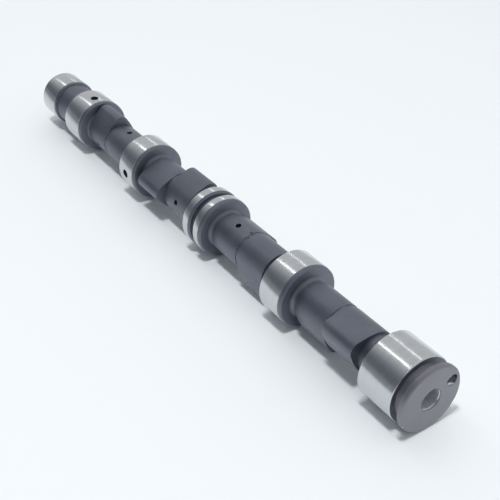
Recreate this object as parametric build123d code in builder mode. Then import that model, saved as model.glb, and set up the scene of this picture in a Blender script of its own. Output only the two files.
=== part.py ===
from build123d import *
from math import acos, degrees, radians, tan
import os

os.makedirs("parts", exist_ok=True)

# Camshaft of a four-cylinder overhead-cam engine, one casting, turned and ground.
# Millimetres. The shaft axis is Y and the origin is the middle of the front bearing.
# The drive flange is at the front (-Y), the shaft runs toward +Y, Z is up and X is
# to the right when looking at the flange. A station is a Y position, and an angle
# around the shaft is taken from up (+Z) toward the right (+X).

# ---- bearings -------------------------------------------------------------
cylinder_pitch = 95.0
first_bay_extra = 6.4
front_journal_diameter = 45.5
journal_step_down = 0.5
inner_journal_width = 19.0
rear_bearing_width = 24.0
land_length = 3.3
land_drop = 0.3
land_corner = 0.9
ground_chamfer = 0.5

# ---- front end ------------------------------------------------------------
flange_thickness = 4.0
flange_front_chamfer = 1.0
thrust_groove_width = 5.7
thrust_groove_diameter = 37.0
front_journal_width = 27.0

# ---- rear end -------------------------------------------------------------
rear_neck_diameter = 34.6
rear_collar_diameter = 37.6
rear_collar_length = 2.2
rear_stub_diameter = 38.6
rear_neck_length = 27.4
rear_stub_length = 22.7

# ---- body between the bearings --------------------------------------------
neck_diameter = 25.5
neck_bevel = 1.5

# ---- oil groove around the centre bearing -----------------------------------
oil_groove_bearing = 2
oil_groove_front_ring = 5.3
oil_groove_width = 5.6
oil_groove_diameter = 38.0
oil_groove_bevel_length = 1.9
oil_groove_bevel_depth = 1.3

# ---- lobes ----------------------------------------------------------------
neck_ahead_of_lobes = 8.6
neck_behind_lobes = 5.6
lobe_gap = 3.0
pair_core_diameter = 27.8
base_circle_diameter = 29.2
nose_reach = 21.0
nose_radius = 6.5
flank_radius = 60.0
first_nose_angle = -59.0
lobe_separation = 112.5
firing_turns = (0, 270, 90, 180)

# ---- holes ----------------------------------------------------------------
centre_mouth_diameter = 16.0
counterbore_diameter = 13.6
counterbore_depth = 9.0
thread_core_diameter = 10.5
thread_core_depth = 40.0
gallery_diameter = 8.0
gallery_overrun = 3.4
drill_point_angle = 118.0
dowel_diameter = 8.0
dowel_pitch_radius = 16.4
dowel_angle = 65.0
dowel_overrun = 0.5
bearing_oil_hole_diameter = 6.4
lobe_oil_hole_diameter = 4.2
rear_oil_hole_setback = 7.7
angles_behind_nose = (108.0, 108.0, 108.0, 118.0)
first_bearing_oil_angle = 90.0
bearing_oil_turn = 90.0
rear_centre_diameter = 8.0
centre_cone_half_angle = 30.0

# ---- values that follow from the ones above --------------------------------
front_radius = front_journal_diameter / 2
neck_radius = neck_diameter / 2
pair_core_radius = pair_core_diameter / 2
base_radius = base_circle_diameter / 2
front_journal_end = front_journal_width / 2
groove_end = -front_journal_width / 2
groove_start = groove_end - thrust_groove_width
front_face = groove_start - flange_thickness
first_inner_bearing_distance = cylinder_pitch + first_bay_extra
rear_bearing_station = first_inner_bearing_distance + (len(firing_turns) - 1) * cylinder_pitch
rear_bearing_end = rear_bearing_station + rear_bearing_width / 2
rear_stub_start = rear_bearing_end + rear_neck_length
rear_face = rear_stub_start + rear_stub_length
thread_core_end = front_face + thread_core_depth
gallery_end = rear_bearing_end + gallery_overrun
bay_without_lobes = (
    inner_journal_width + ground_chamfer + neck_ahead_of_lobes + lobe_gap + neck_behind_lobes + land_length
)
lobe_width = (cylinder_pitch - bay_without_lobes) / 2
pair_half_length = lobe_gap / 2 + lobe_width
pair_end_to_bearing = neck_behind_lobes + land_length + inner_journal_width / 2
first_cylinder_station = first_inner_bearing_distance - pair_end_to_bearing - pair_half_length
bearing_widths = (inner_journal_width, inner_journal_width, inner_journal_width, rear_bearing_width)
cylinders = range(len(firing_turns))
overshoot = front_journal_diameter
drill_point_slope = tan(radians(drill_point_angle / 2))
mouth_chamfer = (centre_mouth_diameter - counterbore_diameter) / 2
counterbore_end = front_face + counterbore_depth
bore_step = (counterbore_diameter - thread_core_diameter) / 2
gallery_step = (thread_core_diameter - gallery_diameter) / 2
rear_centre_depth = rear_centre_diameter / 2 / tan(radians(centre_cone_half_angle))


def journal_radius(number):
    """Ground radius of bearing `number`; bearing 0 is the one behind the flange."""
    return (front_journal_diameter - number * journal_step_down) / 2


def bearing_station(cylinder):
    """Middle of the bearing that stands behind a cylinder's pair of lobes."""
    return first_inner_bearing_distance + cylinder * cylinder_pitch


def pair_station(cylinder):
    """Middle of a cylinder's pair of lobes."""
    return first_cylinder_station + cylinder * cylinder_pitch


def pair_profile(cylinder):
    """Core under one pair of lobes, as (station, radius) points."""
    middle = pair_station(cylinder)
    return [
        (middle - pair_half_length, neck_radius),
        (middle - pair_half_length, pair_core_radius),
        (middle + pair_half_length, pair_core_radius),
        (middle + pair_half_length, neck_radius),
    ]


def bearing_profile(cylinder):
    """Unground land, ground journal and far chamfer of one bearing."""
    radius = journal_radius(cylinder + 1)
    half = bearing_widths[cylinder] / 2
    start = bearing_station(cylinder) - half
    end = bearing_station(cylinder) + half
    land = radius - land_drop
    return [
        (start - land_length, neck_radius),
        (start - land_length, land - land_corner),
        (start - land_length + land_corner, land),
        (start, land),
        (start, radius),
        *groove_profile(cylinder, start, radius),
        (end, radius),
        (end + ground_chamfer, radius - ground_chamfer),
        (end + ground_chamfer, rear_foot(cylinder)),
    ]


def groove_profile(cylinder, start, radius):
    """Oil groove of the bearing that has one, square in front and bevelled behind."""
    if cylinder + 1 != oil_groove_bearing:
        return []
    groove_front = start + oil_groove_front_ring
    groove_back = groove_front + oil_groove_width
    return [
        (groove_front, radius),
        (groove_front, oil_groove_diameter / 2),
        (groove_back, oil_groove_diameter / 2),
        (groove_back, radius - oil_groove_bevel_depth),
        (groove_back + oil_groove_bevel_length, radius),
    ]


def oil_hole_station(cylinder):
    """Oil hole of a bearing: mid-width, mid-groove, or near the front of the rear bearing."""
    start = bearing_station(cylinder) - bearing_widths[cylinder] / 2
    if cylinder + 1 == oil_groove_bearing:
        return start + oil_groove_front_ring + oil_groove_width / 2
    if cylinder == cylinders[-1]:
        return start + rear_oil_hole_setback
    return bearing_station(cylinder)


def front_lobe_angle(cylinder):
    """Direction of the nose of a cylinder's front lobe."""
    return first_nose_angle + firing_turns[cylinder]


def rear_lobe_angle(cylinder):
    """Direction of the nose of a cylinder's rear lobe."""
    return front_lobe_angle(cylinder) - lobe_separation


def oil_hole(station, angle, hole_diameter):
    """Hole from the gallery straight out to the surface."""
    with Locations(Location((0, station, 0), (0, angle, 0))):
        Cylinder(
            hole_diameter / 2,
            overshoot,
            align=(Align.CENTER, Align.CENTER, Align.MIN),
            mode=Mode.SUBTRACT,
        )


def rear_foot(cylinder):
    """Radius of the neck that follows a bearing."""
    last = cylinder == len(firing_turns) - 1
    return rear_neck_diameter / 2 if last else neck_radius


front_end = [
    (front_face, 0),
    (front_face, front_radius - flange_front_chamfer),
    (front_face + flange_front_chamfer, front_radius),
    (groove_start - ground_chamfer, front_radius),
    (groove_start, front_radius - ground_chamfer),
    (groove_start, thrust_groove_diameter / 2),
    (groove_end, thrust_groove_diameter / 2),
    (groove_end, front_radius - ground_chamfer),
    (groove_end + ground_chamfer, front_radius),
    (front_journal_end, front_radius),
    (front_journal_end + ground_chamfer, front_radius - ground_chamfer),
    (front_journal_end + ground_chamfer, neck_radius),
]
rear_end = [
    (rear_stub_start - rear_collar_length, rear_neck_diameter / 2),
    (rear_stub_start - rear_collar_length, rear_collar_diameter / 2),
    (rear_stub_start, rear_collar_diameter / 2),
    (rear_stub_start, rear_stub_diameter / 2),
    (rear_face - ground_chamfer, rear_stub_diameter / 2),
    (rear_face, rear_stub_diameter / 2 - ground_chamfer),
    (rear_face, 0),
]
middle_part = [point for cylinder in cylinders for point in pair_profile(cylinder) + bearing_profile(cylinder)]

# One lobe: base circle and nose joined by two convex flanks that touch both.
nose_centre = nose_reach - nose_radius
flank_to_base = flank_radius - base_radius
flank_to_nose = flank_radius - nose_radius
base_turn = degrees(
    acos((flank_to_base**2 + nose_centre**2 - flank_to_nose**2) / (2 * flank_to_base * nose_centre))
)
nose_turn = degrees(
    acos((flank_to_nose**2 + nose_centre**2 - flank_to_base**2) / (2 * flank_to_nose * nose_centre))
)

with BuildPart() as lobe:
    with BuildSketch(Plane.XZ) as lobe_outline:
        with BuildLine():
            base = CenterArc((0, 0), base_radius, 180 - base_turn, 2 * base_turn)
            nose = CenterArc((nose_centre, 0), nose_radius, -nose_turn, 2 * nose_turn)
            RadiusArc(base @ 1, nose @ 0, -flank_radius)
            RadiusArc(nose @ 1, base @ 0, -flank_radius)
        make_face()
    extrude(amount=-lobe_width)

with BuildPart() as camshaft:
    # Turned body: flange, thrust groove, journals, necks, pair cores, rear stub.
    with BuildSketch(Plane.YZ) as half_section:
        with BuildLine():
            Polyline(front_end + middle_part + rear_end, close=True)
        make_face()
        chamfer(
            half_section.vertices().filter_by(lambda corner: abs(corner.Y - neck_radius) < neck_bevel / 2),
            neck_bevel,
        )
    revolve(axis=Axis.Y)

    # Eight lobes, two to a cylinder.
    for cylinder in cylinders:
        front_start = pair_station(cylinder) - pair_half_length
        rear_start = pair_station(cylinder) + lobe_gap / 2
        for start, angle in (
            (front_start, front_lobe_angle(cylinder)),
            (rear_start, rear_lobe_angle(cylinder)),
        ):
            with Locations(Location((0, start, 0), (0, angle - 90, 0))):
                add(lobe.part)

    # Front centre hole: chamfered mouth, plain counterbore, thread core, oil gallery.
    with BuildSketch(Plane.YZ) as centre_bore:
        with BuildLine():
            Polyline(
                (front_face, 0),
                (front_face, centre_mouth_diameter / 2),
                (front_face + mouth_chamfer, counterbore_diameter / 2),
                (counterbore_end, counterbore_diameter / 2),
                (counterbore_end + bore_step, thread_core_diameter / 2),
                (thread_core_end, thread_core_diameter / 2),
                (thread_core_end + gallery_step / drill_point_slope, gallery_diameter / 2),
                (gallery_end, gallery_diameter / 2),
                (gallery_end + gallery_diameter / 2 / drill_point_slope, 0),
                close=True,
            )
        make_face()
    revolve(axis=Axis.Y, mode=Mode.SUBTRACT)

    # Centre mark in the rear end.
    with BuildSketch(Plane.YZ) as rear_centre:
        with BuildLine():
            Polyline(
                (rear_face, 0),
                (rear_face, rear_centre_diameter / 2),
                (rear_face - rear_centre_depth, 0),
                close=True,
            )
        make_face()
    revolve(axis=Axis.Y, mode=Mode.SUBTRACT)

    # Dowel hole through the drive flange, just into the body behind it.
    with BuildSketch(Plane.XZ.offset(-front_face)) as dowel_hole:
        with PolarLocations(dowel_pitch_radius, 1, start_angle=90 - dowel_angle):
            Circle(dowel_diameter / 2)
    extrude(amount=-(flange_thickness + dowel_overrun), mode=Mode.SUBTRACT)

    # Oil holes: one to each inner bearing, a quarter turn apart, and one to each lobe.
    for cylinder in cylinders:
        oil_hole(
            oil_hole_station(cylinder),
            first_bearing_oil_angle + cylinder * bearing_oil_turn,
            bearing_oil_hole_diameter,
        )
        for side, angle in ((-1, front_lobe_angle(cylinder)), (1, rear_lobe_angle(cylinder))):
            oil_hole(
                pair_station(cylinder) + side * (lobe_gap + lobe_width) / 2,
                angle - angles_behind_nose[cylinder],
                lobe_oil_hole_diameter,
            )

camshaft.part.label = "camshaft"
export_step(camshaft.part, "parts/camshaft.step")
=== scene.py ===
# %% [markdown]
# # A cast-iron camshaft, dressed for the camera
# The shaft of a four-cylinder engine is one casting. A lathe turns its flange,
# grooves and bearing collars, a grinder finishes the journals and the lobes, and
# a phosphate bath darkens everything that isn't ground afterwards. The fixed
# frame below is the machinist's solid. This script puts a finer skin on it.

import math

import bmesh
import bpy
from mathutils import Matrix, Vector


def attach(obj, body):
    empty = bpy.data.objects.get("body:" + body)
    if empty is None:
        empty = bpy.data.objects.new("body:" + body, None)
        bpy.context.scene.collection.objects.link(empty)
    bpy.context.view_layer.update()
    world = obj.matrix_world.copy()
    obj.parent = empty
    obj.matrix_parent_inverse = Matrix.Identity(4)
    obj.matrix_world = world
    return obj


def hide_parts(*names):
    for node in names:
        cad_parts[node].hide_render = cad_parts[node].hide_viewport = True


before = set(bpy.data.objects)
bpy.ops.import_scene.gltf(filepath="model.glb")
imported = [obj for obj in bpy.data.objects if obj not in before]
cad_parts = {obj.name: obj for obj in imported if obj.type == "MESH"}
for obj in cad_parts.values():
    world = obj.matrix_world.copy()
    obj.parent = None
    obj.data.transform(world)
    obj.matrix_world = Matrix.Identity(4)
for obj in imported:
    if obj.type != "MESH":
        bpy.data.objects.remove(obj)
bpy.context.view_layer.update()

# %% [markdown]
# ## Camera
# The camera comes first, so that every later choice can be judged through it.
# It stands in front of the flange, to the left of the shaft and above it, and
# looks down by about 35 degrees. Its three axes are written as matrix columns,
# which places it without any guessing at Euler angles.

# %% Make the camera
def put(name, data):
    """Makes an object around its data and puts it in the scene."""
    made = bpy.data.objects.new(name, data)
    bpy.context.scene.collection.objects.link(made)
    return made


def stand(axes, place):
    """Gives the placing at a point whose X, Y and Z point along three axes."""
    placing = Matrix(axes).transposed().to_4x4()
    placing.translation = place
    return placing


camera_data = bpy.data.cameras.new("camera")
camera_data.lens = 65.66
camera_data.sensor_width = 36.0
camera = put("camera", camera_data)
camera_place = Vector((-0.2910, -0.2648, 0.3623))
look = Vector((0.46491, 0.66851, -0.58048))
right = look.cross(Vector((0, 0, 1))).normalized()
up = right.cross(look).normalized()
camera.matrix_world = stand((right, up, -look), camera_place)
bpy.context.scene.camera = camera
print("camera looks down by", round(math.degrees(math.asin(-look.z)), 1), "degrees")

# %% [markdown]
# ## Sizes
# All sizes are the machinist's, in millimetres, and are turned to metres where a
# mesh is made. A station is a distance along the shaft from the middle of the
# front bearing, and an angle is counted from up toward the right.

# %% Name the sizes
MM = 0.001

cylinder_pitch = 95.0
first_inner_bearing = 101.4
first_cylinder_station = 54.0
front_journal_diameter = 45.5
journal_step_down = 0.5
bearing_widths = (19.0, 19.0, 19.0, 24.0)
ground_chamfer = 0.5

front_journal_width = 27.0
thrust_groove_width = 5.7
thrust_groove_radius = 18.5
flange_thickness = 4.0
flange_front_chamfer = 1.0

neck_radius = 12.75
pair_core_radius = 14.1
rear_neck_radius = 17.3
rear_collar_radius = 18.8
rear_stub_radius = 19.3
rear_stub_start = 425.8
rear_collar_length = 2.2
rear_stub_length = 22.7
rear_centre_radius = 4.0
rear_centre_depth = 6.9

front_radius = front_journal_diameter / 2
front_journal_end = front_journal_width / 2
groove_end = -front_journal_width / 2
groove_start = groove_end - thrust_groove_width
front_face = groove_start - flange_thickness
rear_face = rear_stub_start + rear_stub_length
cylinders = range(len(bearing_widths))


def journal_radius(number):
    return (front_journal_diameter - number * journal_step_down) / 2


def bearing_station(cylinder):
    return first_inner_bearing + cylinder * cylinder_pitch


def bearing_ends(cylinder):
    middle, half = bearing_station(cylinder), bearing_widths[cylinder] / 2
    return middle - half, middle + half


def pair_station(cylinder):
    return first_cylinder_station + cylinder * cylinder_pitch


print("shaft runs from", front_face, "to", rear_face, "mm")

# %% [markdown]
# ## Turned body
# A lathe makes a shape of revolution, and the spin operator does the same: half
# of the section is drawn as a chain of points and carried once around the axis.
# The chain starts in the middle of the front face, runs along the outside and ends
# in the rear centre mark, so the mesh closes. In front of each bearing a low land is
# left from the casting, and one bearing is split in two by a groove for its oil.

# %% Draw the half section
land_length = 3.3
land_drop = 0.3
land_corner = 0.9

split_cylinder = 1
split_groove_start = 5.3
split_groove_end = 10.9
split_groove_radius = 19.0
split_bevel_drop = 1.3
split_bevel_end = 12.8

lobe_width = 27.5
lobe_gap = 3.0
pair_half_length = lobe_gap / 2 + lobe_width
# how far the core between two lobes stops short of their outer faces
core_inset = 0.1


def front_section():
    return [
        (front_face, 0.0),
        (front_face, front_radius - flange_front_chamfer),
        (front_face + flange_front_chamfer, front_radius),
        (groove_start - ground_chamfer, front_radius),
        (groove_start, front_radius - ground_chamfer),
        (groove_start, thrust_groove_radius),
        (groove_end, thrust_groove_radius),
        (groove_end, front_radius - ground_chamfer),
        (groove_end + ground_chamfer, front_radius),
        (front_journal_end, front_radius),
        (front_journal_end + ground_chamfer, front_radius - ground_chamfer),
        (front_journal_end + ground_chamfer, neck_radius),
    ]


def pair_section(cylinder):
    middle = pair_station(cylinder)
    half = pair_half_length - core_inset
    return [
        (middle - half, neck_radius),
        (middle - half, pair_core_radius),
        (middle + half, pair_core_radius),
        (middle + half, neck_radius),
    ]


def split_section(start, radius):
    """Points of the groove in the split bearing, counted from the bearing's start."""
    return [
        (start + split_groove_start, radius),
        (start + split_groove_start, split_groove_radius),
        (start + split_groove_end, split_groove_radius),
        (start + split_groove_end, radius - split_bevel_drop),
        (start + split_bevel_end, radius),
    ]


def bearing_section(cylinder):
    start, end = bearing_ends(cylinder)
    radius = journal_radius(cylinder + 1)
    land = radius - land_drop
    foot = rear_neck_radius if cylinder == cylinders[-1] else neck_radius
    split = split_section(start, radius) if cylinder == split_cylinder else []
    return [
        (start - land_length, neck_radius),
        (start - land_length, land - land_corner),
        (start - land_length + land_corner, land),
        (start, land),
        (start, radius),
        *split,
        (end, radius),
        (end + ground_chamfer, radius - ground_chamfer),
        (end + ground_chamfer, foot),
    ]


def rear_section():
    return [
        (rear_stub_start - rear_collar_length, rear_neck_radius),
        (rear_stub_start - rear_collar_length, rear_collar_radius),
        (rear_stub_start, rear_collar_radius),
        (rear_stub_start, rear_stub_radius),
        (rear_face - ground_chamfer, rear_stub_radius),
        (rear_face, rear_stub_radius - ground_chamfer),
        (rear_face, rear_centre_radius),
        (rear_face - rear_centre_depth, 0.0),
    ]


section = front_section()
for cylinder in cylinders:
    section += pair_section(cylinder) + bearing_section(cylinder)
section += rear_section()
print("half section has", len(section), "points")

# %% [markdown]
# A real edge is never a knife's. Cast corners at the feet of the collars are
# wide fillets, and turned edges are broken by a fraction of a millimetre. The
# rings of edges that the spin leaves at each point are sorted by that, and
# beveled in two goes, so light catches every edge as it does on metal.

# %% Spin it and round its edges
body_steps = 180
cast_fillet = 2.8
turned_break = 0.14
# metres within which two points are one, and millimetres within which sizes agree
hair = 1e-7
touching = 0.01
# radians by which a surface turns at an edge that is worth rounding
real_edge = 0.2


def lathe(points, steps):
    """Carries a chain of (station, radius) points once around the shaft axis."""
    mesh = bmesh.new()
    chain = [mesh.verts.new((0.0, station * MM, radius * MM)) for station, radius in points]
    for first, second in zip(chain, chain[1:]):
        mesh.edges.new((first, second))
    bmesh.ops.spin(
        mesh,
        geom=mesh.verts[:] + mesh.edges[:],
        cent=(0, 0, 0),
        axis=(0, 1, 0),
        angle=math.tau,
        steps=steps,
        use_merge=True,
    )
    bmesh.ops.remove_doubles(mesh, verts=mesh.verts[:], dist=hair)
    bmesh.ops.recalc_face_normals(mesh, faces=mesh.faces[:])
    return mesh


def ring_edges(mesh, wanted):
    """Finds edges that run around the shaft at a station and radius that are wanted."""
    rings = []
    for edge in mesh.edges:
        a, b = (vertex.co for vertex in edge.verts)
        level = math.hypot(a.x, a.z)
        around = abs(a.y - b.y) < hair and abs(level - math.hypot(b.x, b.z)) < hair
        if around and edge.calc_face_angle(0.0) > real_edge and wanted(a.y / MM, level / MM):
            rings.append(edge)
    return rings


def round_edges(mesh, edges, size, steps):
    bmesh.ops.bevel(
        mesh,
        geom=edges,
        offset=size * MM,
        offset_type="OFFSET",
        segments=steps,
        profile=0.5,
        affect="EDGES",
        material=-1,
        clamp_overlap=True,
    )


def inside_lobe(station):
    return any(abs(station - pair_station(cylinder)) < pair_half_length for cylinder in cylinders)


def at_neck(radius):
    return abs(radius - neck_radius) < touching


def is_cast_corner(station, radius):
    return at_neck(radius) and station > front_journal_end and not inside_lobe(station)


def is_turned_edge(station, radius):
    return radius > rear_centre_radius + touching and not at_neck(radius)


body_form = lathe(section, body_steps)
round_edges(body_form, ring_edges(body_form, is_cast_corner), cast_fillet, 6)
round_edges(body_form, ring_edges(body_form, is_turned_edge), turned_break, 2)
print("turned body has", len(body_form.faces), "faces")

# %% [markdown]
# Each finish ends at a turned edge, so the faces are sorted while the body is
# still a plain turned form. Faces keep that number through the cuts that follow.
# The back of the flange is ground as well, since it takes the shaft's thrust.

# %% Sort the faces by finish
# the last finish is a near-black painted shade for the insides of holes and pits
PHOSPHATED, TURNED, GROUND, DRILLED, PAINTED_SHADE = range(5)
finishes = ("phosphated", "turned", "ground", "drilled", "shade_painted")
# millimetres of play at the end of a band
near = 0.05
# a face is on the outside when it faces away from the axis by more than this
outward = 0.3


def ground_bands():
    """Gives rows of (start, end, radius) for the ground bearings."""
    rows = [(groove_end, front_journal_end + ground_chamfer, front_radius)]
    for cylinder in cylinders:
        start, end = bearing_ends(cylinder)
        rows.append((start, end + ground_chamfer, journal_radius(cylinder + 1)))
    rows.append((rear_stub_start, rear_face, rear_stub_radius))
    return rows


def finish_at(station, radius, facing):
    """Finds a face's finish from its middle and how far it faces away from the axis."""
    if facing < outward and abs(station - groove_start) < near:
        return GROUND
    if station < groove_end - near:
        return TURNED
    for start, end, level in ground_bands():
        in_band = start - 2 * near < station < end + near
        if in_band and radius > level - ground_chamfer and facing > outward:
            return GROUND
    return PHOSPHATED


for face in body_form.faces:
    middle = face.calc_center_median() / MM
    facing = math.hypot(face.normal.x, face.normal.z)
    face.material_index = finish_at(middle.y, math.hypot(middle.x, middle.z), facing)
print("bands that are ground:", [tuple(round(value, 2) for value in row) for row in ground_bands()])

# %% [markdown]
# ## Front hole
# A wide mouth, a counterbore, a hole for the thread and the long oil gallery are
# drilled one after the other from the front. Together they take one shape of
# revolution away, so it is spun like the body and cut in one go, once the lobes are
# on. Centres and bolts have rubbed the inner edge of the mouth bright.

# %% Spin the front hole
hole_steps = 96
centre_mouth_radius = 8.0
counterbore_radius = 6.8
counterbore_end = front_face + 9.0
counterbore_point = 0.8
rubbed_rim = 0.35
thread_core_radius = 5.25
thread_major_radius = 6.0
thread_end = front_face + 40.0
tap_point = 0.75
gallery_radius = 4.0
gallery_end = front_face + 425.0
gallery_point = 2.4
mouth_clearance = 3.0


def bore_section():
    mouth = centre_mouth_radius - counterbore_radius
    return [
        (gallery_end + gallery_point, 0.0),
        (gallery_end, gallery_radius),
        (thread_end + tap_point, gallery_radius),
        (thread_end, thread_major_radius),
        (counterbore_end + counterbore_point, thread_major_radius),
        (counterbore_end, counterbore_radius),
        (front_face + mouth, counterbore_radius),
        (front_face + mouth - rubbed_rim, counterbore_radius + rubbed_rim),
        (front_face - mouth_clearance, centre_mouth_radius + mouth_clearance),
        (front_face - mouth_clearance, 0.0),
    ]


bore_form = lathe(bore_section(), hole_steps)
for face in bore_form.faces:
    middle = face.calc_center_median() / MM
    radius = math.hypot(middle.x, middle.z)
    if radius < counterbore_radius:
        face.material_index = DRILLED
    else:
        face.material_index = GROUND if radius < counterbore_radius + rubbed_rim else TURNED
print("front hole has", len(bore_form.faces), "faces")

# %% [markdown]
# ## Lobes
# A cam is a base circle and a smaller nose circle, joined by two long flanks that
# bulge a little. Both circles and a few points along the flanks are pushed out to
# the lobe's width, and a convex hull stretched over them is the lobe. It is drawn
# nose up once, and each copy is turned to its own angle about the shaft.

# %% Stretch one lobe over its circles
base_radius = 14.6
nose_reach = 21.0
nose_radius = 6.5
flank_radius = 60.0
lobe_edge_round = 0.35
base_steps, nose_steps, flank_steps = 150, 90, 12
# radians by which a lobe's rim turns, which no edge along its outline does
rim_turn = 1.2


def lobe_outline(mesh):
    nose_centre = nose_reach - nose_radius
    to_base = flank_radius - base_radius
    to_nose = flank_radius - nose_radius
    turn = math.acos((to_base**2 + nose_centre**2 - to_nose**2) / (2 * to_base * nose_centre))
    sweep = math.acos((to_base**2 + to_nose**2 - nose_centre**2) / (2 * to_base * to_nose))
    facing_front = Matrix.Rotation(math.radians(90), 4, "X")
    for radius, height, steps in (
        (base_radius, 0.0, base_steps),
        (nose_radius, nose_centre, nose_steps),
    ):
        place = Matrix.Translation((0, 0, height * MM)) @ facing_front
        bmesh.ops.create_circle(mesh, segments=steps, radius=radius * MM, matrix=place)
    for side in (-1, 1):
        direction = Vector((-side * math.sin(turn), 0, math.cos(turn)))
        touch = mesh.verts.new(-direction * base_radius * MM)
        bmesh.ops.spin(
            mesh,
            geom=[touch],
            cent=direction * to_base * MM,
            axis=(0, 1, 0),
            angle=-side * sweep,
            steps=flank_steps,
        )


def lobe_form():
    mesh = bmesh.new()
    lobe_outline(mesh)
    copy = bmesh.ops.duplicate(mesh, geom=mesh.verts[:])
    far = [item for item in copy["geom"] if isinstance(item, bmesh.types.BMVert)]
    bmesh.ops.translate(mesh, verts=far, vec=(0, lobe_width * MM, 0))
    hull = bmesh.ops.convex_hull(mesh, input=mesh.verts[:])
    spare = set(hull["geom_interior"] + hull["geom_unused"])
    spare_points = [item for item in spare if isinstance(item, bmesh.types.BMVert)]
    bmesh.ops.delete(mesh, geom=spare_points, context="VERTS")
    bmesh.ops.dissolve_limit(
        mesh,
        angle_limit=math.radians(0.5),
        verts=mesh.verts[:],
        edges=mesh.edges[:],
    )
    bmesh.ops.recalc_face_normals(mesh, faces=mesh.faces[:])
    rims = [edge for edge in mesh.edges if edge.calc_face_angle(0.0) > rim_turn]
    round_edges(mesh, rims, lobe_edge_round, 3)
    return mesh


one_lobe = lobe_form()
print("one lobe has", len(one_lobe.faces), "faces")

# %% [markdown]
# The noses follow the firing order. The front lobe of each pair opens one kind of
# valve and the rear lobe the other, which opens 112.5 degrees away. An oil hole
# lies well behind each nose, where the follower presses least.

# %% Place the eight lobes
first_nose_angle = -59.0
lobe_separation = 112.5
firing_turns = (0, 270, 90, 180)
angles_behind_nose = (108.0, 108.0, 108.0, 118.0)


def lobe_places():
    """Gives rows of (first station, nose angle, angle of the oil hole)."""
    rows = []
    for cylinder in cylinders:
        middle = pair_station(cylinder)
        angle = first_nose_angle + firing_turns[cylinder]
        for start, nose in (
            (middle - pair_half_length, angle),
            (middle + lobe_gap / 2, angle - lobe_separation),
        ):
            rows.append((start, nose, nose - angles_behind_nose[cylinder]))
    return rows


def turned_place(station, angle):
    """Gives the placing that turns an upright form to an angle and moves it to a station."""
    return Matrix.Translation((0, station * MM, 0)) @ Matrix.Rotation(math.radians(angle), 4, "Y")


def gather(forms):
    """Joins rows of (form, placing) into one."""
    joined = bmesh.new()
    for form, placing in forms:
        carrier = bpy.data.meshes.new("carrier")
        form.to_mesh(carrier)
        known = len(joined.verts)
        joined.from_mesh(carrier)
        joined.verts.ensure_lookup_table()
        bmesh.ops.transform(joined, matrix=placing, verts=joined.verts[known:])
        bpy.data.meshes.remove(carrier)
    return joined


lobes_form = gather([(one_lobe, turned_place(start, angle)) for start, angle, _ in lobe_places()])
print("lobes placed at", [(start, angle) for start, angle, _ in lobe_places()])

# %% [markdown]
# ## Thread
# The front hole is tapped for the bolt that holds the drive wheel. A tap leaves a
# ridge that winds along the hole, so its small section is spun around the axis and
# moved on by one pitch in every turn. It reaches a little into the iron, which lets
# the two be united, and starts clear of the counterbore.

# %% Wind the thread
thread_pitch = 1.5
thread_steps = 40
thread_turns = 18
thread_first = counterbore_end + 2.4
ridge_half_foot = 0.6
ridge_half_crest = 0.2
ridge_bite = 0.08
crest_gap = 0.05


def thread_form():
    mesh = bmesh.new()
    foot = thread_major_radius + ridge_bite
    crest = thread_core_radius + crest_gap
    corners = [
        mesh.verts.new((0.0, (thread_first + shift) * MM, radius * MM))
        for shift, radius in (
            (-ridge_half_foot, foot),
            (ridge_half_foot, foot),
            (ridge_half_crest, crest),
            (-ridge_half_crest, crest),
        )
    ]
    loop = [mesh.edges.new((corners[i], corners[(i + 1) % 4])) for i in range(4)]
    bmesh.ops.spin(
        mesh,
        geom=corners + loop,
        cent=(0, 0, 0),
        axis=(0, 1, 0),
        dvec=(0, thread_pitch / thread_steps * MM, 0),
        angle=math.tau * thread_turns,
        steps=thread_steps * thread_turns,
    )
    ends = [edge for edge in mesh.edges if edge.is_boundary]
    bmesh.ops.holes_fill(mesh, edges=ends, sides=4)
    bmesh.ops.recalc_face_normals(mesh, faces=mesh.faces[:])
    for face in mesh.faces:
        face.material_index = DRILLED
    return mesh


ridge_form = thread_form()
ridge_end = thread_first + thread_turns * thread_pitch
print("thread has", len(ridge_form.faces), "faces and ends at", ridge_end, "mm")

# %% [markdown]
# ## Drillings
# Oil comes up the gallery and leaves through a hole in each bearing and in the
# heel of each lobe. Each drill is a spun solid with a small countersink, and is
# taken away from the shaft. It is drawn along the axis, tipped up and then turned
# to its own angle, as the lobes are.

# %% Shape the drills
drill_steps = 48
drill_clearance = 4.0
# millimetres from the axis at which an oil drill starts, inside the gallery
drill_start = 1.0
countersink = 0.3
bearing_oil_radius = 3.2
first_bearing_hole_angle = 90.0
quarter_turn = 90.0
rear_hole_from_edge = 7.7
lobe_oil_radius = 2.1


def drill(radius, inner, surface, sink, rim):
    """Spins a drill along +Y, from inner out past the surface; rim is its countersink's finish."""
    form = lathe(
        [
            (inner, 0.0),
            (inner, radius),
            (surface - sink, radius),
            (surface + sink, radius + 2 * sink),
            (surface + drill_clearance, radius + 2 * sink),
            (surface + drill_clearance, 0.0),
        ],
        drill_steps,
    )
    # a hole's inside is painted near-black as shade; the rim takes the given finish
    for face in form.faces:
        cone = 0.1 < abs(face.normal.y) < 0.9
        outside = face.calc_center_median().y > surface * MM
        face.material_index = rim if cone or outside else PAINTED_SHADE
    return form


def bearing_hole(cylinder):
    """Gives the station and the surface radius of a bearing's oil hole."""
    start, _ = bearing_ends(cylinder)
    if cylinder == split_cylinder:
        return start + (split_groove_start + split_groove_end) / 2, split_groove_radius
    if cylinder == cylinders[-1]:
        return start + rear_hole_from_edge, journal_radius(cylinder + 1)
    return bearing_station(cylinder), journal_radius(cylinder + 1)


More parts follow.
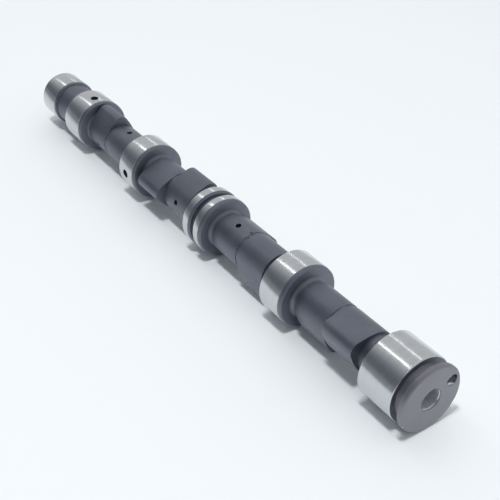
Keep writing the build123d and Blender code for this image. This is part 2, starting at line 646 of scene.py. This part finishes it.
def oil_drills():
    pointing_up = Matrix.Rotation(math.radians(90), 4, "X")
    rows = []
    for cylinder in cylinders:
        station, surface = bearing_hole(cylinder)
        # a bearing hole's countersink gets the painted shade as well
        tool = drill(bearing_oil_radius, drill_start, surface, countersink, PAINTED_SHADE)
        angle = first_bearing_hole_angle + quarter_turn * cylinder
        rows.append((tool, turned_place(station, angle) @ pointing_up))
    for start, _, angle in lobe_places():
        tool = drill(lobe_oil_radius, drill_start, base_radius, countersink, PHOSPHATED)
        rows.append((tool, turned_place(start + lobe_width / 2, angle) @ pointing_up))
    return rows


oil_rows = oil_drills()
print("oil holes:", len(oil_rows))

# %% [markdown]
# The dowel that drives the shaft sits in a hole of the flange. It runs along the
# shaft, so its drill is moved off the axis and turned to come in from the front. Its
# wall is reamed to fit the dowel, and shines like a ground bearing, while its floor
# is only turned.

# %% Shape the dowel's drill
dowel_radius = 4.0
dowel_pitch_radius = 16.4
dowel_angle = 65.0
dowel_depth = 4.5
dowel_countersink = 0.25


def dowel_drill():
    tool = drill(dowel_radius, 0.0, dowel_depth, dowel_countersink, TURNED)
    for face in tool.faces:
        # the dowel hole keeps no painted shade: its wall is ground and its floor turned
        if face.material_index == PAINTED_SHADE:
            flat = abs(face.normal.y) > 0.9
            face.material_index = TURNED if flat else GROUND
    side = Vector((math.sin(math.radians(dowel_angle)), 0, math.cos(math.radians(dowel_angle))))
    floor_point = side * dowel_pitch_radius + Vector((0, front_face + dowel_depth, 0))
    from_front = Matrix.Rotation(math.pi, 4, "X")
    return tool, Matrix.Translation(floor_point * MM) @ from_front


dowel_row = dowel_drill()
print("dowel hole is", dowel_depth, "mm deep")

# %% [markdown]
# ## Chips
# Cast iron is brittle, so a knock takes a small shell-shaped piece out of an edge. A
# low ball, stretched and turned, cuts the same shape. The chips between two lobes
# carry the near-black painted shade, and the ones on the flange's rim are bright
# ground iron. The balls stay small and nearly clear of one another, which keeps the cut clean.

# %% Shape the chips
def nick(place, half_sizes, turned_to, finish):
    """Makes a small stretched ball that takes a chip out of an edge."""
    form = bmesh.new()
    stretch = Matrix.Diagonal((*(half * MM for half in half_sizes), 1.0))
    bmesh.ops.create_icosphere(form, subdivisions=2, radius=1.0, matrix=stretch)
    for face in form.faces:
        face.material_index = finish
    station, radius, angle = place
    where = turned_place(station, angle) @ Matrix.Translation((0, 0, radius * MM))
    return form, where @ Matrix.Rotation(math.radians(turned_to), 4, "Z")


chip_joint = pair_station(1)
# station, radius and angle of each chip, its three half sizes, its turn and its finish; the
# near-black finish is painted shade
chips = [
    nick((chip_joint + 2.6, 14.6, -1.5), (1.5, 0.7, 0.6), 20, PAINTED_SHADE),
    nick((chip_joint + 0.3, 14.5, -3.4), (0.7, 1.3, 0.6), -10, PAINTED_SHADE),
    nick((chip_joint + 0.1, 14.4, -19.5), (1.6, 0.8, 0.6), 0, PAINTED_SHADE),
    nick((front_face + 0.6, 22.5, -119.0), (1.2, 0.8, 0.5), 0, GROUND),
    nick((front_face + 0.8, 22.6, -113.0), (0.8, 0.7, 0.45), 0, GROUND),
]
drills_form = gather(oil_rows + [dowel_row] + chips)
print("drills and chips have", len(drills_form.faces), "faces")

# %% [markdown]
# ## One closed shell
# The lobes are united with the body, then the front hole, its thread and the
# drillings follow, so the shaft is a single closed skin, as the casting is. The
# modifiers are applied at once: their result is read from the evaluated object and
# becomes the final mesh.

# %% Unite the lobes and drill the holes
def make_object(name, form, slots=0):
    """Makes an object from a form, with empty places for its finishes."""
    data = bpy.data.meshes.new(name)
    for _ in range(slots):
        data.materials.append(None)
    form.to_mesh(data)
    return put(name, data)


def combine(target, tool, operation):
    step = target.modifiers.new(tool.name, "BOOLEAN")
    step.operation = operation
    step.solver = "EXACT"
    step.material_mode = "INDEX"
    step.object = tool


shaft = make_object("shaft", body_form, slots=len(finishes))
tools = []
for name, form, operation in (
    ("lobes", lobes_form, "UNION"),
    ("bore", bore_form, "DIFFERENCE"),
    ("ridge", ridge_form, "UNION"),
    ("drills", drills_form, "DIFFERENCE"),
):
    tools.append(make_object(name, form, slots=len(finishes)))
    combine(shaft, tools[-1], operation)
bpy.context.view_layer.update()
graph = bpy.context.evaluated_depsgraph_get()
finished = bpy.data.meshes.new_from_object(shaft.evaluated_get(graph))
shaft.modifiers.clear()
shaft.data = finished
for spent in tools:
    bpy.data.objects.remove(spent)
print("shaft has", len(finished.polygons), "faces")

# %% [markdown]
# Casting, turning and grinding leave smooth curves that meet at plain edges. The
# faces are shaded smooth and any edge that turns more than 24 degrees is kept
# sharp. Doubled points are merged first, so the skin is whole.

# %% Smooth the curves and keep the edges
sharp_turn = 24
shell = bmesh.new()
shell.from_mesh(shaft.data)
bmesh.ops.remove_doubles(shell, verts=shell.verts[:], dist=2 * hair)
open_edges = [edge for edge in shell.edges if not edge.is_manifold]
shell.to_mesh(shaft.data)
shaft.data.shade_smooth()
shaft.data.set_sharp_from_angle(angle=math.radians(sharp_turn))
print("edges without two faces:", len(open_edges))
print("triangles:", sum(len(face.verts) - 2 for face in shell.faces))

# %% [markdown]
# ## Finishes
# One shaft carries five finishes. The bearings are ground bright after the bath,
# the body and lobes stay a dark blue-grey phosphate, the flange and its groove are
# turned and then phosphated, and the front hole is bare drilled iron. The small holes
# and pits get a near-black painted shade in their colour. Each is built from nodes,
# and a few helpers keep that short: they add a node, and set a plain value or link
# another node to it.

# %% Helpers for nodes
def plug(tree, value, socket):
    """Links a value that comes from another node, or sets a plain one."""
    if isinstance(value, bpy.types.NodeSocket):
        tree.links.new(value, socket)
    else:
        socket.default_value = value


def add(tree, kind, **settings):
    """Adds a node; settings named like its properties are set, the rest are inputs."""
    node = tree.nodes.new("ShaderNode" + kind)
    for name, value in settings.items():
        if hasattr(node, name):
            setattr(node, name, value)
        else:
            plug(tree, value, node.inputs[name.replace("_", " ")])
    return node


def math_node(tree, operation, first, second=0.0):
    node = add(tree, "Math", operation=operation)
    plug(tree, first, node.inputs[0])
    plug(tree, second, node.inputs[1])
    return node.outputs[0]


def spread(tree, value, low, high, to_low=0.0, to_high=1.0):
    """Takes a value from one range to another, clamped."""
    ranges = {"From_Min": low, "From_Max": high, "To_Min": to_low, "To_Max": to_high}
    return add(tree, "MapRange", Value=value, **ranges).outputs["Result"]


def blend(tree, amount, first, second):
    """Mixes two colours by an amount."""
    node = add(tree, "Mix", data_type="RGBA")
    for name, value in (("Factor", amount), ("A", first), ("B", second)):
        socket = next(item for item in node.inputs if item.name == name and item.enabled)
        plug(tree, value, socket)
    return next(item for item in node.outputs if item.enabled)


def bump(tree, height, strength, distance):
    node = add(tree, "Bump", Strength=strength, Distance=distance, Height=height)
    return node.outputs["Normal"]


# %% [markdown]
# Effects that several finishes share are node groups. A group takes plain numbers
# and gives only masks, tones and heights, and each material keeps its own shader and
# sets the group's numbers for itself. Patterns read Object coordinates, which are the
# shaft's own frame in metres.

# %% Helpers for node groups
def new_group(name, inputs, outputs):
    """Starts a group and gives it with the sockets of its named numbers."""
    tree = bpy.data.node_groups.new(name, "ShaderNodeTree")
    sockets = tree.interface
    for label, usual in inputs.items():
        number = sockets.new_socket(name=label, in_out="INPUT", socket_type="NodeSocketFloat")
        number.default_value = usual
    for label in outputs:
        sockets.new_socket(name=label, in_out="OUTPUT", socket_type="NodeSocketFloat")
    return tree, tree.nodes.new("NodeGroupInput").outputs


def give(tree, **results):
    ending = tree.nodes.new("NodeGroupOutput")
    for name, socket in results.items():
        tree.links.new(socket, ending.inputs[name])


def use(tree, group, **numbers):
    """Places a group in a material with the material's own numbers."""
    node = tree.nodes.new("ShaderNodeGroup")
    node.node_tree = group
    for name, number in numbers.items():
        node.inputs[name.replace("_", " ")].default_value = number
    return node.outputs


# %% [markdown]
# ### Casting grain
# Sand leaves iron with a fine, even roughness and wide, soft changes of tone. Two
# noises of a millimetre or two give the first as a height, and one of about two
# centimetres gives the second. The group's numbers say between which values of that
# noise the tone goes from dark to pale.

# %% Group for the casting grain
grain_group, numbers = new_group(
    "casting grain", {"Tone Low": 0.3, "Tone High": 0.7}, ("Height", "Tone")
)
place = add(grain_group, "TexCoord").outputs["Object"]
fine = add(grain_group, "TexNoise", Vector=place, Scale=1500.0, Detail=4.0, Roughness=0.6)
coarse = add(grain_group, "TexNoise", Vector=place, Scale=420.0, Detail=3.0, Roughness=0.55)
broad = add(grain_group, "TexNoise", Vector=place, Scale=55.0, Detail=4.0, Roughness=0.6)
fine_half = math_node(grain_group, "MULTIPLY", fine.outputs["Fac"], 0.5)
height = math_node(grain_group, "ADD", fine_half, coarse.outputs["Fac"])
tone = spread(grain_group, broad.outputs["Fac"], numbers["Tone Low"], numbers["Tone High"])
give(grain_group, Height=height, Tone=tone)
print("group", grain_group.name)

# %% [markdown]
# ### Tool lines
# A lathe or a grinding wheel leaves lines that run around the shaft. Seen along
# the shaft they are a fine, irregular comb, so a noise that changes only with the
# station draws them. A little of the other directions lets them fade in and out.

# %% Group for the tool lines
lines_group, numbers = new_group(
    "tool lines", {"Streak Low": 0.3, "Streak High": 0.7}, ("Height", "Streak")
)
place = add(lines_group, "TexCoord").outputs["Object"]
squeeze = add(lines_group, "Mapping", Vector=place, Scale=(30.0, 2600.0, 30.0)).outputs["Vector"]
comb = add(lines_group, "TexNoise", Vector=squeeze, Scale=1.0, Detail=3.0, Roughness=0.6)
squeeze = add(lines_group, "Mapping", Vector=place, Scale=(60.0, 520.0, 60.0)).outputs["Vector"]
bands = add(lines_group, "TexNoise", Vector=squeeze, Scale=1.0, Detail=3.0, Roughness=0.65)
streak = spread(lines_group, bands.outputs["Fac"], numbers["Streak Low"], numbers["Streak High"])
give(lines_group, Height=comb.outputs["Fac"], Streak=streak)
print("group", lines_group.name)

# %% [markdown]
# ### Worn edges
# Handling rubs the dark coat off sharp edges first. A normal that looks a little
# way round, as the Bevel node gives, differs from the true normal only near an
# edge, and a noise breaks the mask up, so the wear isn't an even outline. The
# group's numbers set how much of each edge is rubbed.

# %% Group for the worn edges
wear_group, numbers = new_group("worn edges", {"Patch Low": 0.42, "Patch High": 0.62}, ("Mask",))
place = add(wear_group, "TexCoord").outputs["Object"]
rounded = add(wear_group, "Bevel", samples=6, Radius=0.0006)
true_normal = add(wear_group, "NewGeometry").outputs["Normal"]
alike = add(wear_group, "VectorMath", operation="DOT_PRODUCT")
plug(wear_group, rounded.outputs["Normal"], alike.inputs[0])
plug(wear_group, true_normal, alike.inputs[1])
edge = spread(wear_group, alike.outputs["Value"], 0.99, 0.88)
patches = add(wear_group, "TexNoise", Vector=place, Scale=240.0, Detail=4.0, Roughness=0.65)
rubbed = spread(wear_group, patches.outputs["Fac"], numbers["Patch Low"], numbers["Patch High"])
give(wear_group, Mask=math_node(wear_group, "MULTIPLY", edge, rubbed))
print("group", wear_group.name)

# %% [markdown]
# ### Starting a material
# Each material is one Principled shader. Plain numbers are set on its own sockets,
# and only what changes over the surface is linked in.

# %% Start a material
def start_material(name):
    """Makes a material and gives it with its node tree and its shader's inputs."""
    made = bpy.data.materials.new(name)
    made.use_nodes = True
    return made, made.node_tree, made.node_tree.nodes["Principled BSDF"].inputs


def feed(tree, inputs, **sources):
    """Links what changes over the surface to the shader's inputs."""
    for name, socket in sources.items():
        tree.links.new(socket, inputs[name.replace("_", " ")])


# %% [markdown]
# ### Phosphated iron
# The bath turns iron into a fine dark crystal coat that still gleams a little, so
# it is a dark metal with a wide, soft highlight rather than a paint. The oil that
# the crystals hold is a dull clear coat, which pales the edges seen at a slant.

# %% Make the phosphated iron
phosphated, tree, inputs = start_material("phosphated iron")
grain = use(tree, grain_group, Tone_Low=0.3, Tone_High=0.7)
wear = use(tree, wear_group, Patch_Low=0.42, Patch_High=0.62)
crystals = blend(tree, grain["Tone"], (0.164, 0.179, 0.221, 1), (0.222, 0.239, 0.28, 1))
inputs["Metallic"].default_value = 1.0
inputs["Coat Weight"].default_value = 0.5
inputs["Coat Roughness"].default_value = 0.45
feed(
    tree,
    inputs,
    Base_Color=blend(tree, wear["Mask"], crystals, (0.5, 0.51, 0.53, 1)),
    Roughness=spread(tree, grain["Tone"], 0.0, 1.0, 0.54, 0.62),
    Normal=bump(tree, grain["Height"], 0.25, 0.00005),
)
print("material", phosphated.name)

# %% [markdown]
# ### Turned and phosphated iron
# The flange and the groove were turned before the bath, so the coat keeps the
# lathe's fine rings.

# %% Make the turned iron
turned, tree, inputs = start_material("turned and phosphated iron")
grain = use(tree, grain_group, Tone_Low=0.3, Tone_High=0.7)
wear = use(tree, wear_group, Patch_Low=0.42, Patch_High=0.62)
lines = use(tree, lines_group)
crystals = blend(tree, grain["Tone"], (0.265, 0.265, 0.29, 1), (0.315, 0.315, 0.34, 1))
rings = math_node(tree, "ADD", grain["Height"], lines["Height"])
inputs["Metallic"].default_value = 1.0
feed(
    tree,
    inputs,
    Base_Color=blend(tree, wear["Mask"], crystals, (0.55, 0.56, 0.58, 1)),
    Roughness=spread(tree, grain["Tone"], 0.0, 1.0, 0.5, 0.58),
    Normal=bump(tree, rings, 0.25, 0.00004),
)
print("material", turned.name)

# %% [markdown]
# ### Ground bearing
# Grinding leaves bright steel-grey metal with lines round the shaft. Their bump is
# tiny but spreads each highlight along the shaft.

# %% Make the ground bearing
ground, tree, inputs = start_material("ground bearing")
lines = use(tree, lines_group, Streak_Low=0.3, Streak_High=0.7)
inputs["Metallic"].default_value = 1.0
feed(
    tree,
    inputs,
    Base_Color=blend(tree, lines["Streak"], (0.565, 0.58, 0.59, 1), (0.61, 0.63, 0.64, 1)),
    Roughness=spread(tree, lines["Streak"], 0.0, 1.0, 0.18, 0.195),
    Normal=bump(tree, lines["Height"], 0.015, 0.00002),
)
print("material", ground.name)

# %% [markdown]
# ### Drilled iron
# The front hole was drilled through the coat into bare iron. It scatters light more
# than it mirrors, which is why its inside is grey and not black, and the chips of
# the drill left faint streaks along it.

# %% Make the drilled iron
drilled, tree, inputs = start_material("drilled iron")
place = add(tree, "TexCoord").outputs["Object"]
drawn = add(tree, "Mapping", Vector=place, Scale=(260.0, 40.0, 260.0)).outputs["Vector"]
scores = add(tree, "TexNoise", Vector=drawn, Scale=1.0, Detail=3.0, Roughness=0.6).outputs["Fac"]
scored = spread(tree, scores, 0.35, 0.65)
inputs["Metallic"].default_value = 0.25
feed(
    tree,
    inputs,
    Base_Color=blend(tree, scored, (0.46, 0.45, 0.5, 1), (0.64, 0.62, 0.65, 1)),
    Roughness=spread(tree, scores, 0.3, 0.7, 0.45, 0.6),
    Normal=bump(tree, scores, 0.2, 0.00005),
)
print("material", drilled.name)

# %% [markdown]
# ### Painted shade for holes and pits
# The small holes and pits are coloured nearly black, as painted shade for their
# insides, and the grain's tone makes the gleam a little sharper where it is paler.

# %% Make the painted shade for holes and pits
shade_painted, tree, inputs = start_material("oiled iron")
grain = use(tree, grain_group, Tone_Low=0.35, Tone_High=0.65)
inputs["Metallic"].default_value = 0.0
feed(
    tree,
    inputs,
    Base_Color=blend(tree, grain["Tone"], (0.028, 0.027, 0.034, 1), (0.055, 0.053, 0.063, 1)),
    Roughness=spread(tree, grain["Tone"], 0.0, 1.0, 0.65, 0.4),
    Normal=bump(tree, grain["Height"], 0.2, 0.00005),
)
print("material", shade_painted.name)

# %% [markdown]
# ### Which face has which
# The faces kept their finish numbers through the cuts, so each material goes into
# the slot with its number. Then the shaft takes its place in the shared frame.

# %% Give each finish its place in the list
for number, made in enumerate((phosphated, turned, ground, drilled, shade_painted)):
    shaft.data.materials[number] = made
counts = [0] * len(finishes)
for polygon in shaft.data.polygons:
    counts[polygon.material_index] += 1
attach(shaft, "root")
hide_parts("camshaft")
print("faces in each finish:", dict(zip(finishes, counts)))

# %% [markdown]
# ## Floor and light
# The shaft lies on a pale sheet. Far to the left the sheet carries painted shade
# for everything but the camera: polished metal looks flat without something dark to
# mirror, and the lower half of the bearings' dark band comes from there. The fade
# leans to the right along the shaft, so the band stays as wide on each bearing.

# %% Lay the sheet
# metres: the sheet's left edge, half its side and the station of its middle
sheet_left = -1.6
sheet_reach = 3.6
sheet_station = 1.0
# how far the painted shade's fade leans to the right with the station, and where it starts and ends
fade_lean = 0.354
fade_dark, fade_pale = -0.5, -0.21

floor_form = bmesh.new()
middle = Matrix.Translation((sheet_left + sheet_reach, sheet_station, -front_radius * MM))
bmesh.ops.create_grid(floor_form, x_segments=1, y_segments=1, size=sheet_reach, matrix=middle)
floor = make_object("floor", floor_form)
sheet, tree, inputs = start_material("pale sheet")
parts = add(tree, "SeparateXYZ", Vector=add(tree, "TexCoord").outputs["Object"]).outputs
leaning = math_node(tree, "MULTIPLY", parts["Y"], fade_lean)
across = math_node(tree, "SUBTRACT", parts["X"], leaning)
# painted shade: far to the left the sheet is dark for every ray but the camera's
seen = add(tree, "LightPath").outputs["Is Camera Ray"]
pale = math_node(tree, "MAXIMUM", spread(tree, across, fade_dark, fade_pale), seen)
feed(tree, inputs, Base_Color=blend(tree, pale, (0.3, 0.32, 0.34, 1), (0.93, 0.965, 0.975, 1)))
inputs["Roughness"].default_value = 0.7
inputs["Specular IOR Level"].default_value = 0.2
floor.data.materials.append(sheet)
print("sheet reaches", sheet_reach, "m each way")

# %% [markdown]
# One high lamp to the left gives the main light and the shadow under the shaft. A
# long strip behind and above draws the bright line down every bearing, goes on
# dimmer as a far strip, and a thin one to the right draws the fainter line beside
# it. Each lamp is given by the two ends of its long side, its width, how bright its
# face is and the point it looks at. The high lamp is left out of the mirrors, where
# it would show as a spot.

# %% Hang the lamps
def lamp(name, start, end, width, radiance, toward):
    """Hangs a rectangle lamp whose length runs from start to end and which faces a point."""
    start, end, toward = Vector(start), Vector(end), Vector(toward)
    middle = (start + end) / 2
    along = (end - start).normalized()
    back = middle - toward
    back = (back - back.dot(along) * along).normalized()
    data = bpy.data.lights.new(name, "AREA")
    data.shape = "RECTANGLE"
    data.size = width
    data.size_y = (end - start).length
    data.energy = math.pi * data.size * data.size_y * radiance
    made = put(name, data)
    made.matrix_world = stand((along.cross(back), along, back), middle)
    print(name, "gives", round(data.energy, 1), "W")
    return made


strip_joint = (-0.10, 1.75, 1.5)
high = lamp("high lamp", (-0.57, -0.4, 3.0), (-0.57, 0.1, 3.0), 0.28, 93.0, (0, 0.1, 0))
high.visible_glossy = False
lamp("long strip", (-0.252, 0.4, 1.5), strip_joint, 0.05, 6.0, (0, 0.3, 0))
lamp("far strip", strip_joint, (0.03, 3.2, 1.5), 0.05, 3.0, (0, 0.4, 0))
lamp("thin strip", (0.9, 0.55, 1.5), (1.95, 3.7, 1.5), 0.04, 3.9, (0, 0.2, 0))

# %% [markdown]
# The room is the world's own colour. It is a plain grey that fades to dark where a
# ray leaves to the left, and since it depends only on the turn about the shaft, it
# acts like long panels that stand along it.

# %% Shade the room
# where a ray leaves (0 is left, 0.5 is up, 1 is right) and the room's colour there
room_shades = (
    (0.0, (0.3, 0.31, 0.34, 1)),
    (0.02, (0.15, 0.16, 0.19, 1)),
    (0.08, (0.15, 0.16, 0.19, 1)),
    (0.17, (0.24, 0.26, 0.29, 1)),
    (0.32, (0.49, 0.5, 0.52, 1)),
    (0.5, (0.66, 0.665, 0.685, 1)),
)

world = bpy.data.worlds.new("room")
bpy.context.scene.world = world
world.use_nodes = True
tree = world.node_tree
parts = add(tree, "SeparateXYZ", Vector=add(tree, "TexCoord").outputs["Generated"]).outputs
squares = [math_node(tree, "POWER", parts[letter], 2.0) for letter in "XZ"]
length = math_node(tree, "SQRT", math_node(tree, "ADD", *squares))
sideways = math_node(tree, "DIVIDE", parts["X"], length)
shade = add(tree, "ValToRGB", Fac=spread(tree, sideways, -1.0, 1.0))
stops = shade.color_ramp.elements
for number, (position, colour) in enumerate(room_shades):
    stop = stops[number] if number < 2 else stops.new(position)
    stop.position = position
    stop.color = colour
feed(tree, tree.nodes["Background"].inputs, Color=shade.outputs["Color"])
bpy.context.scene.view_settings.view_transform = "Standard"
print("room has", len(stops), "shades")
